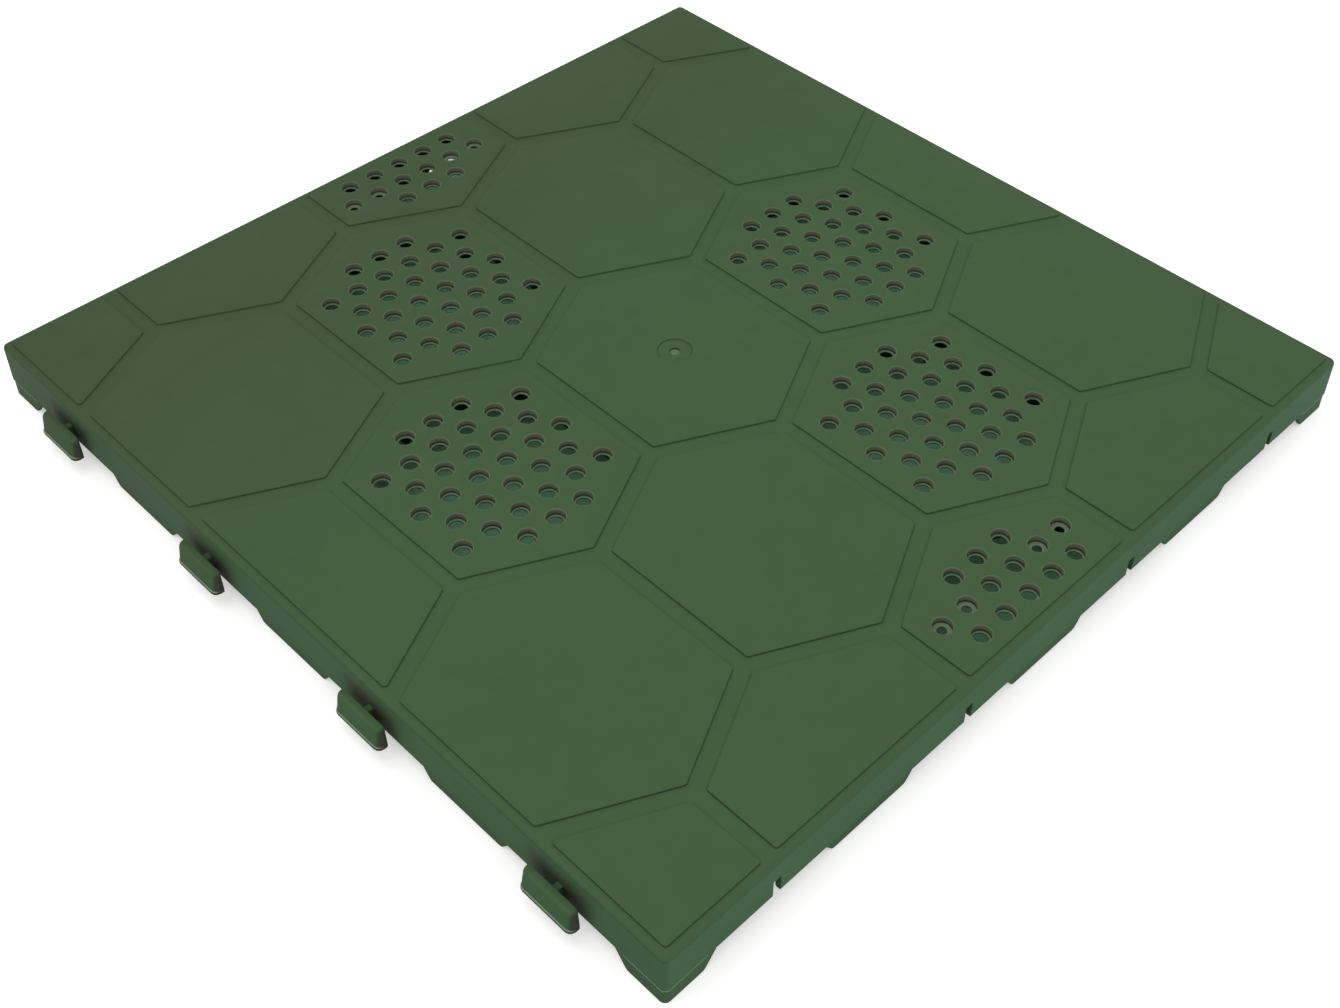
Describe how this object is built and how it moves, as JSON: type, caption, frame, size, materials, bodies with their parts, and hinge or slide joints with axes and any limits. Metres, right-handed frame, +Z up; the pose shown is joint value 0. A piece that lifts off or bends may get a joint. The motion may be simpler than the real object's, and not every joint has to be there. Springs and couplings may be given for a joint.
{
  "type": "plastic drainage tile",
  "caption": "Square moulded plastic floor tile with raised hexagon pads, perforated drain fields, a skirt on feet, and hooks and slots that join it to its neighbours.",
  "frame": {"origin": "middle of the square plan, on the ground under the central leg", "axes": "+Z up out of the deck; hooks along the -X and +Y sides, slots along the +X and -Y sides"},
  "size_m": [0.4077, 0.4077, 0.028],
  "materials": {
    "green_polypropylene": "matt, moulded"
  },
  "bodies": {
    "root": {"tile": "green_polypropylene"}
  },
  "joints": []
}
